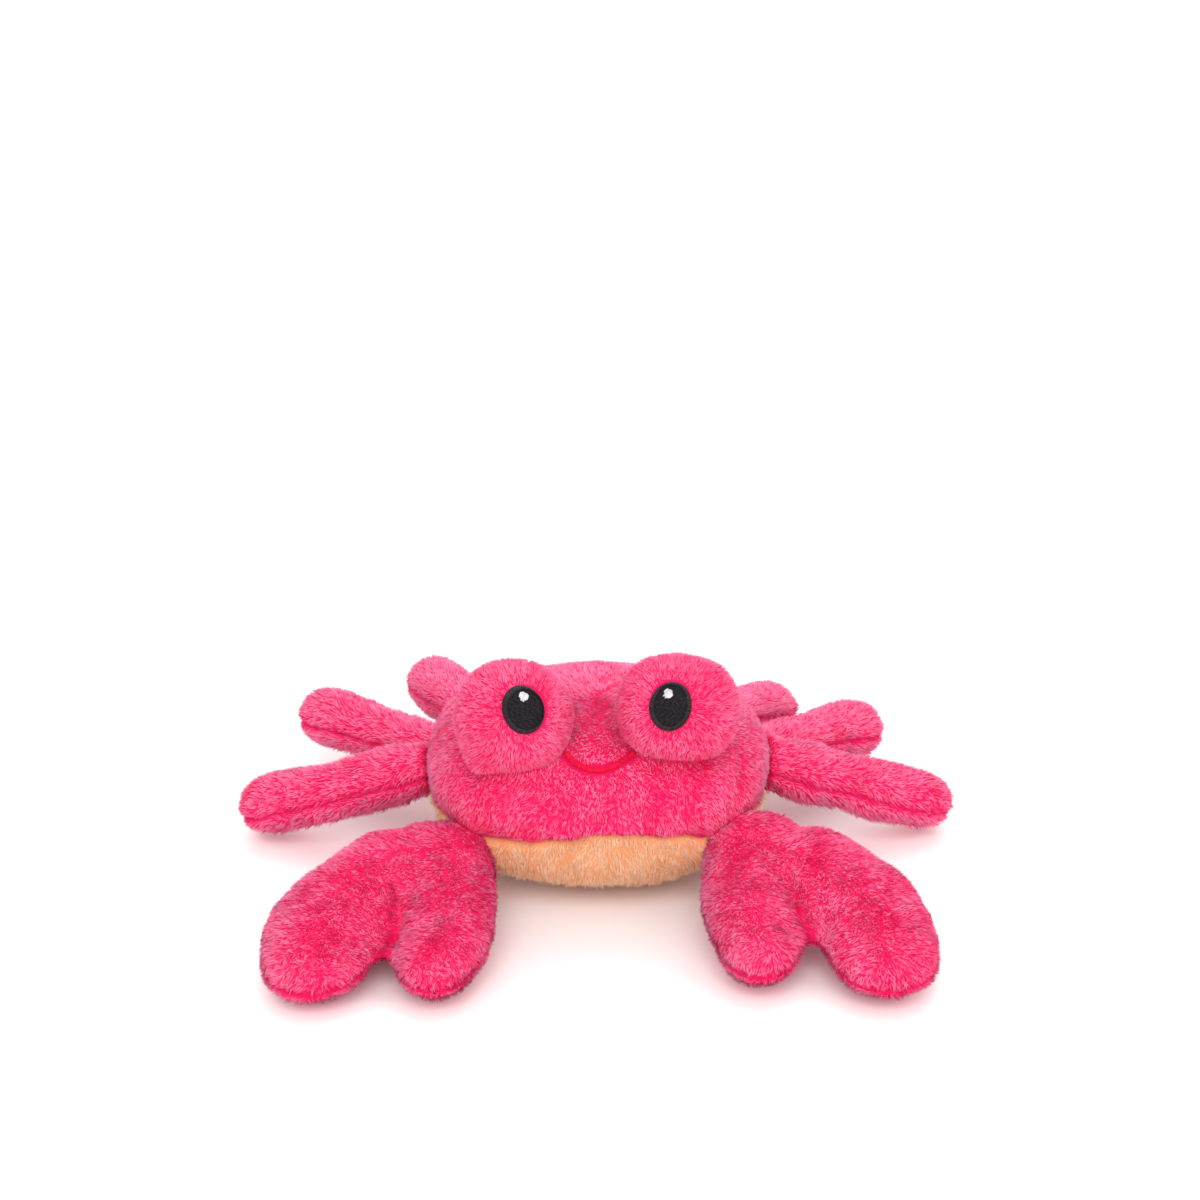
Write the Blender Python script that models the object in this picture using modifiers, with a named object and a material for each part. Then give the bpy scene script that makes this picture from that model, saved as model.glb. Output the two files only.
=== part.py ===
"""A stuffed toy crab of short pile plush, lying on its belly.

The body is a flattened cushion sewn from a pink shell and a peach belly panel. Two round
mounds on the front of the shell carry the embroidered eyes, a stitched smile lies between
them, two mitten claws reach forward, and six legs spread to the sides and back.

Metres, +Z up. The crab faces -Y, its left side is at -X, and the origin is the centre of
the flat patch under the belly.
"""

import math

import bmesh
import bpy
from mathutils import Euler, Matrix, Vector
from mathutils.geometry import interpolate_bezier

MM = 0.001

# Clearance between pieces that are sewn together
SEAT_GAP = 0.3 * MM

# Shell: half sizes at its widest, which lies above the seam, and its rise from there
BODY_HALF_WIDTH = 47.0 * MM
BODY_HALF_FRONT = 41.0 * MM
BODY_HALF_BACK = 42.5 * MM
BODY_MIDDLE = 27.0 * MM
SHELL_RISE = 17.3 * MM
SHELL_DROP = 14.0 * MM
PLAN_SQUARENESS = 2.6
PROFILE_SQUARENESS = 2.25

# Belly panel: tucked in under the shell's edge, and pressed flat where it lies
SEAM_HEIGHT = 22.0 * MM
BELLY_TUCK = 3.2 * MM
BELLY_RISE = 18.0 * MM
BELLY_PRESS = 1.0 * MM
BELLY_SQUARENESS = 2.0

# In front the seam lifts under the smile, and dips beside it where the claws pull it down
SEAM_LIFT = 3.4 * MM
SEAM_DIP = 3.0 * MM
SEAM_LIFT_HALF_WIDTH = 19.0 * MM
SEAM_LIFT_OFFSET = 4.0 * MM

# Eye mounds: half sizes and the place of each centre, from the middle, the front and the shell's top
MOUND_HALF_DEPTH = 14.0 * MM
MOUND_DROP = 12.0 * MM
MOUND_SQUARENESS = 3.0
MOUND_SETBACK = 17.5 * MM
MOUNDS = {
    "left": {"half_width": 15.0 * MM, "half_height": 14.4 * MM, "spread": 20.2 * MM, "lift": 5.9 * MM},
    "right": {"half_width": 16.2 * MM, "half_height": 13.2 * MM, "spread": 19.0 * MM, "lift": 8.3 * MM},
}

# Embroidered eyes, sunk in a shallow recess of the pile: size, and how each looks inward, up and leans
EYE_HALF_WIDTH = 4.9 * MM
EYE_HALF_HEIGHT = 5.8 * MM
EYE_RECESS = 0.8 * MM
EYE_THREAD = 0.6 * MM
HIGHLIGHT_HALF_WIDTH = 1.3 * MM
HIGHLIGHT_RAISED = 2.9 * MM
HIGHLIGHT_INWARD = 1.0 * MM
HIGHLIGHT_THREAD = 0.4 * MM
EYES = {
    "left": {"inward_deg": 14.5, "raised_deg": 30.5, "lean_deg": 13.6},
    "right": {"inward_deg": 10.5, "raised_deg": 24.5, "lean_deg": 8.7},
}

# Smile, one line of satin stitch on the slope of the shell between the mounds
SMILE_HALF_WIDTH = 8.9 * MM
SMILE_SAG = 4.4 * MM
SMILE_DROP = 4.8 * MM
SMILE_OFFSET = 0.9 * MM
SMILE_TILT = 6.0
SMILE_SLOPE = 30.0
SMILE_RADIUS = 0.55 * MM

# Claws: a long outer finger that grows out of the arm, and a short inner one
CLAW_ARM_DEPTH = 7.0 * MM
CLAW_REACH = 51.0 * MM
CLAW_SPREAD = 33.6 * MM
CLAW_ARM_HALF_WIDTH = 9.4 * MM
CLAW_ARM_HALF_THICK = 7.0 * MM
CLAW_PALM_HALF_WIDTH = 15.7 * MM
CLAW_TIP_HALF_WIDTH = 11.6 * MM
CLAW_HALF_THICK = 8.0 * MM
CLAW_TIP_HALF_THICK = 6.8 * MM
INNER_FINGER_SPREAD = 7.5 * MM
INNER_FINGER_HALF_WIDTH = 11.3 * MM
INNER_TIP_HALF_WIDTH = 8.6 * MM
CLAWS = {
    "left": {"place_deg": 223.2, "inset": 2.4 * MM, "root_height": 14.0 * MM, "inner_reach": 49.5 * MM},
    "right": {"place_deg": 318.5, "inset": 3.0 * MM, "root_height": 16.0 * MM, "inner_reach": 45.5 * MM},
}

# Legs: one pattern, sewn in at six places round the seam
LEG_HALF_WIDTH = 8.8 * MM
LEG_HALF_THICK = 8.6 * MM
LEG_ROOT_DEPTH = 12.0 * MM
LEGS = {
    "leg_front_left": {"place_deg": 177.0, "heading_deg": 168.0, "reach": 47.0 * MM, "tip_lift": 0.3 * MM,
                       "root_height": 21.7 * MM, "root_half": 8.5 * MM},
    "leg_middle_left": {"place_deg": 154.0, "heading_deg": 132.0, "reach": 49.0 * MM, "tip_lift": 5.6 * MM,
                        "root_height": 20.0 * MM, "root_half": 7.2 * MM},
    "leg_rear_left": {"place_deg": 131.0, "heading_deg": 108.5, "reach": 48.5 * MM, "tip_lift": 5.0 * MM,
                      "root_height": 21.0 * MM, "root_half": 7.4 * MM},
    "leg_front_right": {"place_deg": 6.0, "heading_deg": 13.5, "reach": 46.5 * MM, "tip_lift": 0.3 * MM,
                        "root_height": 21.7 * MM, "root_half": 8.5 * MM},
    "leg_middle_right": {"place_deg": 26.0, "heading_deg": 50.4, "reach": 45.5 * MM, "tip_lift": 3.0 * MM,
                         "root_height": 20.0 * MM, "root_half": 7.2 * MM},
    "leg_rear_right": {"place_deg": 49.0, "heading_deg": 64.8, "reach": 44.0 * MM, "tip_lift": 0.3 * MM,
                       "root_height": 21.0 * MM, "root_half": 7.4 * MM},
}

COLOURS = {
    "pink plush": ((0.88, 0.075, 0.19), 0.92),
    "peach plush": ((0.86, 0.37, 0.18), 0.92),
    "black thread": ((0.022, 0.017, 0.022), 0.55),
    "white thread": ((0.85, 0.84, 0.85), 0.5),
    "red thread": ((0.75, 0.012, 0.055), 0.55),
}


def clear_scene():
    for obj in list(bpy.data.objects):
        bpy.data.objects.remove(obj, do_unlink=True)


def new_collection(name):
    collection = bpy.data.collections.new(name)
    bpy.context.scene.collection.children.link(collection)
    return collection


def make_material(name):
    colour, roughness = COLOURS[name]
    material = bpy.data.materials.new(name)
    material.use_nodes = True
    shader = material.node_tree.nodes["Principled BSDF"]
    shader.inputs["Base Color"].default_value = (*colour, 1.0)
    shader.inputs["Roughness"].default_value = roughness
    shader.inputs["Metallic"].default_value = 0.0
    material.diffuse_color = (*colour, 1.0)
    return material


def add_object(name, bm, collection, material=None):
    """Turns a bmesh into an object; one without a material is a cutter."""
    mesh = bpy.data.meshes.new(name)
    bm.to_mesh(mesh)
    bm.free()
    mesh.shade_smooth()
    obj = bpy.data.objects.new(name, mesh)
    collection.objects.link(obj)
    if material:
        mesh.materials.append(material)
    else:
        obj.hide_render = True
        obj.display_type = "WIRE"
    return obj


def subdivide(obj, levels=1):
    modifier = obj.modifiers.new("Soft form", "SUBSURF")
    modifier.levels = levels
    modifier.render_levels = levels


def combine(obj, other, operation):
    modifier = obj.modifiers.new(f"{operation.title()} {other.name}", "BOOLEAN")
    modifier.operation = operation
    modifier.object = other


def evaluated_copy(name, source, collection):
    """A plain mesh of what the source looks like with its modifiers."""
    bpy.context.view_layer.update()
    graph = bpy.context.evaluated_depsgraph_get()
    mesh = bpy.data.meshes.new_from_object(source.evaluated_get(graph))
    bm = bmesh.new()
    bm.from_mesh(mesh)
    bmesh.ops.remove_doubles(bm, verts=bm.verts, dist=1e-6)
    obj = add_object(name, bm, collection)
    obj.matrix_world = source.matrix_world
    bpy.data.meshes.remove(mesh)
    return obj


def smooth_step(t):
    t = min(max(t, 0.0), 1.0)
    return t * t * (3.0 - 2.0 * t)


def between(t, places):
    """The value at t on a smooth line through (place, value) pairs."""
    for (t0, a), (t1, b) in zip(places, places[1:]):
        if t <= t1:
            return a + (b - a) * smooth_step((t - t0) / (t1 - t0))
    return places[-1][1]


def cage_growth(count):
    """What one round of subdivision takes off a ring of this many points, put back on."""
    return 1.0 / (0.75 + 0.25 * math.cos(2.0 * math.pi / count))


# Body

def cushion_cage(cuts, halves, plan, above, below, grow=0.0):
    """A quad sphere pushed out to a squarish cushion.

    halves holds the half sizes to the right, left, back, front, up and down; plan, above and
    below say how square it is seen from the top, and in profile over and under its middle.
    """
    growth = cage_growth(4 * (cuts + 1))
    right, left, back, front, up, down = ((half + grow) * growth for half in halves)
    bm = bmesh.new()
    bmesh.ops.create_cube(bm, size=2.0)
    bmesh.ops.subdivide_edges(bm, edges=bm.edges[:], cuts=cuts, use_grid_fill=True)
    for vert in bm.verts:
        # even out the cube's corners before it is made round
        x, y, z = (math.tan(math.pi / 4 * value) for value in vert.co)
        way = Vector((x, y, z)).normalized()
        ax = abs(way.x) / (right if way.x > 0 else left)
        ay = abs(way.y) / (back if way.y > 0 else front)
        az = abs(way.z) / (up if way.z > 0 else down)
        profile = above if way.z > 0 else below
        flat = (ax**plan + ay**plan) ** (profile / plan)
        vert.co = way / (flat + az**profile) ** (1.0 / profile)
    return bm


def shell_cushion(name, collection, grow=0.0, material=None):
    halves = (BODY_HALF_WIDTH, BODY_HALF_WIDTH, BODY_HALF_BACK, BODY_HALF_FRONT, SHELL_RISE, SHELL_DROP)
    bm = cushion_cage(5, halves, PLAN_SQUARENESS, PROFILE_SQUARENESS, PROFILE_SQUARENESS, grow)
    obj = add_object(name, bm, collection, material)
    obj.location.z = BODY_MIDDLE
    subdivide(obj)
    return obj


def belly_cushion(name, collection, grow=0.0, material=None):
    half_width, half_back, half_front = (
        half - BELLY_TUCK for half in (BODY_HALF_WIDTH, BODY_HALF_BACK, BODY_HALF_FRONT))
    halves = (half_width, half_width, half_back, half_front, BELLY_RISE, SEAM_HEIGHT + BELLY_PRESS)
    bm = cushion_cage(5, halves, PLAN_SQUARENESS, PROFILE_SQUARENESS, BELLY_SQUARENESS, grow)
    obj = add_object(name, bm, collection, material)
    obj.location.z = SEAM_HEIGHT
    subdivide(obj)
    return obj


def plan_point(degrees, inset=0.0):
    """The point of the shell's plan outline in this direction, or one that far inside it."""
    c, s = math.cos(math.radians(degrees)), math.sin(math.radians(degrees))
    depth = BODY_HALF_BACK if s > 0 else BODY_HALF_FRONT
    ratio = (abs(c) / BODY_HALF_WIDTH) ** PLAN_SQUARENESS + (abs(s) / depth) ** PLAN_SQUARENESS
    radius = ratio ** (-1.0 / PLAN_SQUARENESS) - inset
    return Vector((radius * c, radius * s, 0.0))


def seam_cutter(name, collection, lift):
    """A block with a soft top that follows the seam; lift moves that top up."""
    bm = bmesh.new()
    side = 3.0 * BODY_HALF_WIDTH
    bmesh.ops.create_grid(bm, x_segments=26, y_segments=8, size=side / 2)
    for vert in bm.verts:
        across = (vert.co.x - SEAM_LIFT_OFFSET) / SEAM_LIFT_HALF_WIDTH
        forward = smooth_step(-vert.co.y / BODY_HALF_FRONT)
        bell = math.exp(-across * across)
        vert.co.z = SEAM_HEIGHT + lift + forward * ((SEAM_LIFT + SEAM_DIP) * bell - SEAM_DIP)
    top = bm.faces[:]
    grown = bmesh.ops.extrude_face_region(bm, geom=top)
    bottom = [item for item in grown["geom"] if isinstance(item, bmesh.types.BMVert)]
    for vert in bottom:
        vert.co.z = -SEAM_HEIGHT
    bmesh.ops.recalc_face_normals(bm, faces=bm.faces[:])
    return add_object(name, bm, collection)


def floor_cutter(name, collection):
    """Everything under the floor, which flattens what rests on it."""
    bm = bmesh.new()
    bmesh.ops.create_cube(bm, size=1.0)
    depth = 2.0 * SEAM_HEIGHT
    size = Vector((4.0 * BODY_HALF_WIDTH, 4.0 * BODY_HALF_WIDTH, depth))
    bmesh.ops.scale(bm, verts=bm.verts, vec=size)
    obj = add_object(name, bm, collection)
    obj.location.z = -depth / 2
    return obj


# Limbs

def limb_cage(start, handle_a, handle_b, end, widths, thicks, rings, segments=8):
    """A sphere laid along a curve in the XY plane, flatter than it is wide.

    widths and thicks are (fraction, half size) pairs along the limb. Both ends are round, and
    the two sides carry a crease, because a limb is two panels sewn round their outline.
    """
    spine = interpolate_bezier(start, handle_a, handle_b, end, 65)
    run = [0.0]
    for a, b in zip(spine, spine[1:]):
        run.append(run[-1] + (b - a).length)
    length = run[-1]

    growth = cage_growth(segments)
    stations = []
    for angle in (25.0, 50.0, 75.0):
        stations.append((widths[0][1] * (1 - math.cos(math.radians(angle))), math.sin(math.radians(angle))))
    first, last = widths[0][1], length - widths[-1][1]
    stations += [(first + (last - first) * k / (rings - 1), 1.0) for k in range(rings)]
    for angle in (75.0, 50.0, 25.0):
        stations.append((length - widths[-1][1] * (1 - math.cos(math.radians(angle))),
                         math.sin(math.radians(angle))))

    def spine_at(distance):
        for k in range(len(run) - 1):
            if distance <= run[k + 1]:
                break
        part = (distance - run[k]) / (run[k + 1] - run[k])
        return spine[k].lerp(spine[k + 1], part), (spine[k + 1] - spine[k]).normalized()

    bm = bmesh.new()
    bmesh.ops.create_uvsphere(bm, u_segments=segments, v_segments=len(stations) + 1, radius=1.0)
    row_of = {}
    for vert in bm.verts:
        row = round(math.acos(max(-1.0, min(1.0, vert.co.z))) / math.pi * (len(stations) + 1))
        turn = math.atan2(vert.co.y, vert.co.x)
        if row == 0:
            vert.co = start
            continue
        if row == len(stations) + 1:
            vert.co = end
            continue
        distance, taper = stations[row - 1]
        centre, along = spine_at(distance)
        side = Vector((-along.y, along.x, 0.0))
        part = distance / length
        half_width = between(part, widths) * taper * growth
        half_thick = between(part, thicks) * taper * growth
        vert.co = centre + side * (half_width * math.cos(turn)) + Vector((0, 0, half_thick * math.sin(turn)))
        if abs(math.sin(turn)) < 0.01:
            row_of[vert] = row
    crease = bm.edges.layers.float.new("crease_edge")
    for edge in bm.edges:
        a, b = edge.verts
        if a in row_of and b in row_of and row_of[a] != row_of[b]:
            edge[crease] = 0.45
    # The sphere's upper pole became the root, which turned its faces inward
    bmesh.ops.reverse_faces(bm, faces=bm.faces[:])
    return bm


def leg_solid(name, collection, grow=0.0, material=None):
    """One leg, its root on the seam and its tip on or over the floor."""
    leg = LEGS[name]
    reach = leg["reach"]
    start = Vector((-LEG_ROOT_DEPTH, 0, 0))
    end = Vector((reach + grow, 0, 0))
    bend = Vector((reach / 3, 0, 0))
    root, half_width, half_thick = leg["root_half"] + grow, LEG_HALF_WIDTH + grow, LEG_HALF_THICK + grow
    widths = ((0.0, root), (0.3, root), (0.75, half_width), (1.0, half_width))
    thicks = ((0.0, root), (0.3, root), (0.75, half_thick), (1.0, half_thick))
    bm = limb_cage(start, start + bend, end - bend, end, widths, thicks, rings=4)
    obj = add_object(name if material else f"{name}_clearance", bm, collection, material)
    subdivide(obj)
    obj.location = plan_point(leg["place_deg"]) + Vector((0, 0, leg["root_height"]))
    drop = leg["root_height"] - LEG_HALF_THICK - leg["tip_lift"]
    obj.rotation_euler = (0.0, math.asin(drop / (reach - LEG_HALF_WIDTH)), math.radians(leg["heading_deg"]))
    return obj


def make_leg(name, collection, cutters, body_cutters, material):
    leg = leg_solid(name, collection, material=material)
    for cutter in body_cutters:
        combine(leg, cutter, "DIFFERENCE")
    # A leg gives way to the one in front of it, which is sewn in first
    for behind, ahead in (("rear", "middle"), ("middle", "front")):
        if behind in name:
            neighbour = leg_solid(name.replace(behind, ahead), cutters, grow=SEAT_GAP)
            combine(leg, neighbour, "DIFFERENCE")
    return leg


def make_claw(side, collection, cutters, body_cutters, material):
    """One claw: two lobes joined at the palm, sloping from the seam down to the floor."""
    way = -1.0 if side == "left" else 1.0
    back_in = CLAW_ARM_DEPTH * math.sqrt(0.5)
    inner_reach, root_height = CLAWS[side]["inner_reach"], CLAWS[side]["root_height"]

    def out(across, forward):
        return Vector((way * across, -forward, 0.0))

    outer = limb_cage(
        out(-back_in, -back_in),
        out(0.86 * CLAW_SPREAD, 0.06 * CLAW_REACH),
        out(0.98 * CLAW_SPREAD, 0.46 * CLAW_REACH),
        out(0.98 * CLAW_SPREAD, CLAW_REACH),
        ((0.0, CLAW_ARM_HALF_WIDTH), (0.2, CLAW_ARM_HALF_WIDTH), (0.52, CLAW_PALM_HALF_WIDTH),
         (0.66, CLAW_PALM_HALF_WIDTH), (1.0, CLAW_TIP_HALF_WIDTH)),
        ((0.0, CLAW_ARM_HALF_THICK), (0.2, CLAW_ARM_HALF_THICK), (0.5, CLAW_HALF_THICK),
         (0.8, CLAW_HALF_THICK), (1.0, CLAW_TIP_HALF_THICK)),
        rings=6,
    )
    inner = limb_cage(
        out(0.1 * INNER_FINGER_SPREAD, -back_in),
        out(0.0, 0.34 * inner_reach),
        out(0.2 * INNER_FINGER_SPREAD, 0.66 * inner_reach),
        out(INNER_FINGER_SPREAD, inner_reach),
        ((0.0, CLAW_ARM_HALF_WIDTH), (0.5, INNER_FINGER_HALF_WIDTH),
         (0.65, INNER_FINGER_HALF_WIDTH), (1.0, INNER_TIP_HALF_WIDTH)),
        ((0.0, CLAW_ARM_HALF_THICK * 0.9), (0.4, CLAW_HALF_THICK), (0.75, CLAW_HALF_THICK),
         (1.0, CLAW_TIP_HALF_THICK)),
        rings=5,
    )
    finger = add_object(f"inner_finger_{side}", inner, cutters)
    subdivide(finger)
    claw = add_object(f"claw_{side}", outer, collection, material)
    subdivide(claw)
    combine(claw, finger, "UNION")
    for cutter in body_cutters:
        combine(claw, cutter, "DIFFERENCE")

    # The far end of the claw comes down to the floor
    drop = root_height - CLAW_TIP_HALF_THICK - SEAT_GAP
    slope = math.asin(drop / (CLAW_REACH - CLAW_TIP_HALF_WIDTH * 0.5))
    spot = plan_point(CLAWS[side]["place_deg"], CLAWS[side]["inset"]) + Vector((0, 0, root_height))
    for obj in (claw, finger):
        obj.location = spot
        obj.rotation_euler.x = slope
    return claw


# Eyes

def mound_frame(side):
    """Where a mound's centre is."""
    way = -1.0 if side == "left" else 1.0
    mound = MOUNDS[side]
    centre = Vector((way * mound["spread"], -BODY_HALF_FRONT + MOUND_SETBACK,
                     BODY_MIDDLE + SHELL_RISE + mound["lift"]))
    return Matrix.Translation(centre)


def mound_cushion(name, side, collection, grow=0.0, material=None):
    wide, high = MOUNDS[side]["half_width"], MOUNDS[side]["half_height"]
    halves = (wide, wide, MOUND_HALF_DEPTH, MOUND_HALF_DEPTH, high, MOUND_DROP)
    obj = add_object(name, cushion_cage(3, halves, 2.15, 2.1, MOUND_SQUARENESS, grow), collection, material)
    obj.matrix_world = mound_frame(side)
    subdivide(obj)
    return obj


def eye_frame(side):
    """The eye's own axes: +Z out of the mound, +Y up along the eye's long axis."""
    way = -1.0 if side == "left" else 1.0
    eye = EYES[side]
    facing = Euler((math.radians(90.0 - eye["raised_deg"]), 0.0, 0.0)).to_matrix().to_4x4()
    turned = Euler((0.0, 0.0, math.radians(-way * eye["inward_deg"]))).to_matrix().to_4x4()
    leaned = Euler((0.0, 0.0, math.radians(-way * eye["lean_deg"]))).to_matrix().to_4x4()
    return mound_frame(side) @ turned @ facing @ leaned


def oval_rod(name, side, collection, half_width, half_height, shift=(0.0, 0.0), segments=24,
             material=None):
    """A rod of oval section that runs from the mound's centre out through the eye."""
    length = 2.0 * MOUND_HALF_DEPTH
    bm = bmesh.new()
    bmesh.ops.create_cone(bm, cap_ends=True, segments=segments, radius1=1.0, radius2=1.0, depth=length)
    bmesh.ops.scale(bm, verts=bm.verts, vec=Vector((half_width, half_height, 1.0)))
    bmesh.ops.translate(bm, verts=bm.verts, vec=Vector((*shift, length / 2)))
    obj = add_object(name, bm, collection, material)
    obj.matrix_world = eye_frame(side)
    return obj


def make_eye(side, parts, cutters, body_cutters, materials):
    """A mound, its embroidered eye in a shallow recess, and the highlight stitched on it."""
    mound = mound_cushion(f"eye_mound_{side}", side, parts, material=materials["pink plush"])
    floor = -EYE_RECESS
    patch_low = floor + SEAT_GAP
    patch_top = patch_low + EYE_THREAD
    light_low = patch_top + SEAT_GAP
    light_top = light_low + HIGHLIGHT_THREAD
    layers = {}
    for label, grow in (("recess_floor", floor), ("patch_low", patch_low), ("patch_top", patch_top),
                        ("light_low", light_low), ("light_top", light_top)):
        layers[label] = mound_cushion(f"{label}_{side}", side, cutters, grow)

    recess = oval_rod(f"eye_recess_{side}", side, cutters, EYE_HALF_WIDTH + SEAT_GAP,
                      EYE_HALF_HEIGHT + SEAT_GAP)
    combine(recess, layers["recess_floor"], "DIFFERENCE")
    combine(mound, recess, "DIFFERENCE")
    for cutter in body_cutters:
        combine(mound, cutter, "DIFFERENCE")

    patch = oval_rod(f"eye_embroidery_{side}", side, parts, EYE_HALF_WIDTH, EYE_HALF_HEIGHT,
                     material=materials["black thread"])
    combine(patch, layers["patch_top"], "INTERSECT")
    combine(patch, layers["patch_low"], "DIFFERENCE")

    inward = HIGHLIGHT_INWARD if side == "left" else -HIGHLIGHT_INWARD
    light = oval_rod(f"eye_highlight_{side}", side, parts, HIGHLIGHT_HALF_WIDTH, HIGHLIGHT_HALF_WIDTH,
                     shift=(inward, HIGHLIGHT_RAISED), segments=14, material=materials["white thread"])
    combine(light, layers["light_top"], "INTERSECT")
    combine(light, layers["light_low"], "DIFFERENCE")
    return [mound, patch, light]


# Smile

def smile_points(shell, count=11):
    """Points of the smile, found on the shell by looking down its front slope."""
    bpy.context.view_layer.update()
    graph = bpy.context.evaluated_depsgraph_get()
    surface = shell.evaluated_get(graph)
    inverse = shell.matrix_world.inverted()
    slope = math.radians(SMILE_SLOPE)
    look = Vector((0.0, math.cos(slope), -math.sin(slope)))
    up = Vector((0.0, math.sin(slope), math.cos(slope)))
    points = []
    for k in range(count):
        part = 2.0 * k / (count - 1) - 1.0
        across = SMILE_HALF_WIDTH * part
        rise = SMILE_SAG * (abs(part) ** 2.3 - 1.0) + SMILE_SAG * 0.5
        rise += across * math.tan(math.radians(SMILE_TILT)) - SMILE_DROP + SMILE_SAG * 0.5
        start = Vector((across + SMILE_OFFSET, 0.0, BODY_MIDDLE)) + up * rise - look * 3.0 * BODY_HALF_FRONT
        found, point, _, _ = surface.ray_cast(inverse @ start, look)
        if found:
            points.append(shell.matrix_world @ point)
    return points


def thread_line(name, points, radius, collection, material=None):
    data = bpy.data.curves.new(name, "CURVE")
    data.dimensions = "3D"
    data.bevel_depth = radius
    data.bevel_resolution = 2
    data.use_fill_caps = True
    spline = data.splines.new("POLY")
    spline.points.add(len(points) - 1)
    for item, point in zip(spline.points, points):
        item.co = (*point, 1.0)
    obj = bpy.data.objects.new(name, data)
    collection.objects.link(obj)
    if material:
        data.materials.append(material)
    return obj


def main():
    clear_scene()
    parts = new_collection("stuffed_crab")
    cutters = new_collection("cutters")
    materials = {name: make_material(name) for name in COLOURS}
    pink, peach = materials["pink plush"], materials["peach plush"]

    # Shell and belly are two cushions that meet at the seam
    clearances = [shell_cushion("shell_clearance", cutters, grow=SEAT_GAP),
                  belly_cushion("belly_clearance", cutters, grow=SEAT_GAP)]
    below_seam = seam_cutter("below_seam", cutters, 0.0)
    shell_edge = seam_cutter("shell_edge", cutters, SEAT_GAP)
    floor = floor_cutter("floor", cutters)
    shell = shell_cushion("shell", parts, material=pink)
    combine(shell, shell_edge, "DIFFERENCE")
    belly = belly_cushion("belly_panel", parts, material=peach)
    combine(belly, below_seam, "INTERSECT")
    combine(belly, floor, "DIFFERENCE")
    pieces = [shell, belly]

    for side in ("left", "right"):
        pieces += make_eye(side, parts, cutters, clearances, materials)
        pieces.append(make_claw(side, parts, cutters, clearances, pink))

    for name in LEGS:
        pieces.append(make_leg(name, parts, cutters, clearances, pink))

    # The smile lies in a groove as wide as its thread and the clearance
    line = smile_points(shell)
    guide = thread_line("smile_guide", line, SMILE_RADIUS + SEAT_GAP, cutters)
    groove = evaluated_copy("smile_groove", guide, cutters)
    bpy.data.objects.remove(guide, do_unlink=True)
    for piece in pieces:
        if piece is shell or piece.name.startswith("eye_mound"):
            combine(piece, groove, "DIFFERENCE")
    pieces.append(thread_line("mouth_stitch", line, SMILE_RADIUS, parts, materials["red thread"]))

    crab = bpy.data.objects.new("crab_frame", None)
    parts.objects.link(crab)
    for piece in pieces:
        piece.parent = crab


main()
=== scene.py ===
"""Looks for the stuffed crab: plush skins puffed up between their seams, brushed pile and embroidery."""

import math
from collections import namedtuple
from types import SimpleNamespace

import bmesh
import bpy
import numpy as np
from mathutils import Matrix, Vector, kdtree
from mathutils.bvhtree import BVHTree
from mathutils.geometry import interpolate_bezier


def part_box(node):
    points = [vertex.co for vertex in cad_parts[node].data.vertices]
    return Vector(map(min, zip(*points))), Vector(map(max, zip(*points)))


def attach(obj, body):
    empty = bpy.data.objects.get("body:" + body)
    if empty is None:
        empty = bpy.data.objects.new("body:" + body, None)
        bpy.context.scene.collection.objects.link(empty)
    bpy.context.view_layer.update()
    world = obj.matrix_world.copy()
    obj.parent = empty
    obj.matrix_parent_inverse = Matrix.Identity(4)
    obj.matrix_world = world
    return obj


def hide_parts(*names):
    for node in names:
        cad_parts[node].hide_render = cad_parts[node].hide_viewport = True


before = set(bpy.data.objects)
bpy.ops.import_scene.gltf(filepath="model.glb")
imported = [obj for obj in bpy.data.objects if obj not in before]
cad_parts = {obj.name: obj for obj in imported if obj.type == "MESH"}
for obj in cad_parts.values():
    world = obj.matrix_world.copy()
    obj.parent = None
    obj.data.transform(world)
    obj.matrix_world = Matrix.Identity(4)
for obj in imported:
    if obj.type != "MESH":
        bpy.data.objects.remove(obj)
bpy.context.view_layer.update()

MM = 0.001

# The camera's place and tilt follow the photograph's view of the object
CAMERA_PLACE = (0.0005, -0.7355, 0.3911)
CAMERA_TILT = 66.392
CAMERA_LENS = 100.0

# Soft light from all round, and broad lamps: the turn of each, its strength and its width in degrees
ROOM_LIGHT = 0.89
LAMPS = (
    ("front key", (47.0, 0.0, -6.0), 1.37, 40.0),
    ("low front fill", (78.0, 0.0, 4.0), 0.32, 60.0),
    ("side fill", (64.0, 0.0, 42.0), 0.4, 60.0),
    ("back fill", (40.0, 0.0, 172.0), 1.1, 60.0),
)

# The woven backing lies inside the solid, so that the pile's tips end a little outside it
BACKING_DEPTH = 0.55 * MM
BACKING_LOWEST = 0.35 * MM

# The cloth simulation puffs each skin at ten times its size
SIM_SCALE = 10.0
PUFF_FRAMES = 20
PUFF_MOST = 0.9 * MM

# A row for each kind of stuffed piece, which is the first one that the piece's name starts with:
# mesh: how fine the backing is; length and radius: its tufts; all in millimetres
# shade: how pale the pile is, from 0 to 1, set paler on the legs and the mounds as a painted sheen
# lean: the tufts' angle to the skin, in degrees
# root: how far up its ramp of colours a tuft begins, raised on the claws and the shell as a painted light
# that lifts the shade between their tufts; faces: the most triangles of one piece
Kind = namedtuple("Kind", "mesh length radius shade lean root faces")
KINDS = {
    "claw": Kind(1.7, 1.7, 0.16, 0.36, 36.0, 0.26, 138000),
    # The rear legs' row differs only in its shade: paler still, a painted sheen
    "leg_rear": Kind(1.9, 1.7, 0.16, 0.8, 42.0, 0.14, 43000),
    "leg": Kind(1.9, 1.7, 0.16, 0.66, 42.0, 0.14, 43000),
    "shell": Kind(2.2, 1.5, 0.14, 0.42, 36.0, 0.2, 186000),
    "eye_mound": Kind(1.7, 1.5, 0.13, 0.56, 42.0, 0.12, 58000),
    "belly_panel": Kind(2.2, 1.8, 0.15, 0.5, 40.0, 0.06, 84000),
}

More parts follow.
